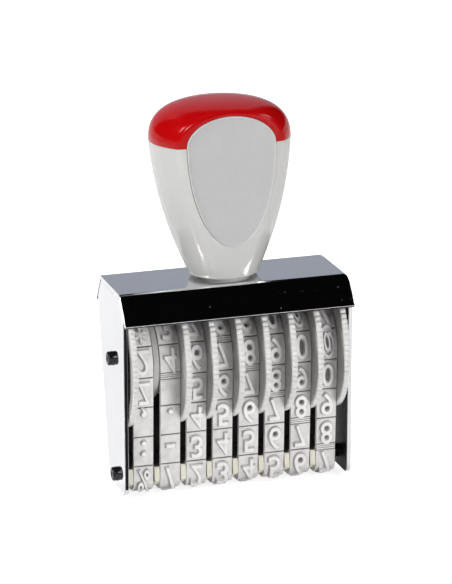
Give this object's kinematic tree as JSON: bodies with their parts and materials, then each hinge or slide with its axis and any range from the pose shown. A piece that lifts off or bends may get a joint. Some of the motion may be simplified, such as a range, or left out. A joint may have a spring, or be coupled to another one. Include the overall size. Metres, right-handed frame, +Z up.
{
  "type": "numbering stamp",
  "caption": "Hand numbering stamp: toothed thumb wheels on one axle carry rubber number bands round a comb bridge, in a bent sheet-metal frame under a pear-shaped handle.",
  "frame": {"origin": "on the printing face that the stamp stands on, under the middle of the frame and of the wheel axle", "axes": "+X along the wheel axle, towards the plate beside the last wheel; -Y the front, on which the handle's flat label faces; +Z up along the handle"},
  "size_m": [0.0732, 0.0422, 0.1181],
  "materials": {
    "bright_steel": "bright nickel-plated sheet steel",
    "dark_steel": "blackened steel, ends riveted over",
    "ivory_plastic": "ivory, matt",
    "wheel_plastic": "off-white, slight sheen",
    "band_rubber": "pale grey, matt",
    "handle_plastic": "warm off-white, glossy",
    "red_plastic": "red, glossy",
    "label_plastic": "light grey, matt",
    "insert_brass": "plain",
    "stud_steel": "zinc-plated"
  },
  "bodies": {
    "frame": {"frame": "bright_steel", "wheel_axle": "dark_steel", "bridge_pin": "dark_steel", "comb_bridge": "ivory_plastic", "spacer_disc": "wheel_plastic", "handle_body": "handle_plastic", "handle_cap": "red_plastic", "front_label_plate": "label_plastic", "threaded_insert": "insert_brass", "handle_stud": "stud_steel", "band_1": "band_rubber", "band_2": "band_rubber", "band_3": "band_rubber", "band_4": "band_rubber", "band_5": "band_rubber", "band_6": "band_rubber", "band_7": "band_rubber", "band_8": "band_rubber"},
    "wheel_1": {"wheel_1": "wheel_plastic"},
    "wheel_2": {"wheel_2": "wheel_plastic"},
    "wheel_3": {"wheel_3": "wheel_plastic"},
    "wheel_4": {"wheel_4": "wheel_plastic"},
    "wheel_5": {"wheel_5": "wheel_plastic"},
    "wheel_6": {"wheel_6": "wheel_plastic"},
    "wheel_7": {"wheel_7": "wheel_plastic"},
    "wheel_8": {"wheel_8": "wheel_plastic"}
  },
  "joints": [
    {"name": "wheel_1_turn", "type": "hinge", "parent": "frame", "child": "wheel_1", "pos_m": [0, 0, 0.0416], "axis": [1, 0, 0], "continuous": true},
    {"name": "wheel_2_turn", "type": "hinge", "parent": "frame", "child": "wheel_2", "pos_m": [0, 0, 0.0416], "axis": [1, 0, 0], "continuous": true},
    {"name": "wheel_3_turn", "type": "hinge", "parent": "frame", "child": "wheel_3", "pos_m": [0, 0, 0.0416], "axis": [1, 0, 0], "continuous": true},
    {"name": "wheel_4_turn", "type": "hinge", "parent": "frame", "child": "wheel_4", "pos_m": [0, 0, 0.0416], "axis": [1, 0, 0], "continuous": true},
    {"name": "wheel_5_turn", "type": "hinge", "parent": "frame", "child": "wheel_5", "pos_m": [0, 0, 0.0416], "axis": [1, 0, 0], "continuous": true},
    {"name": "wheel_6_turn", "type": "hinge", "parent": "frame", "child": "wheel_6", "pos_m": [0, 0, 0.0416], "axis": [1, 0, 0], "continuous": true},
    {"name": "wheel_7_turn", "type": "hinge", "parent": "frame", "child": "wheel_7", "pos_m": [0, 0, 0.0416], "axis": [1, 0, 0], "continuous": true},
    {"name": "wheel_8_turn", "type": "hinge", "parent": "frame", "child": "wheel_8", "pos_m": [0, 0, 0.0416], "axis": [1, 0, 0], "continuous": true}
  ]
}
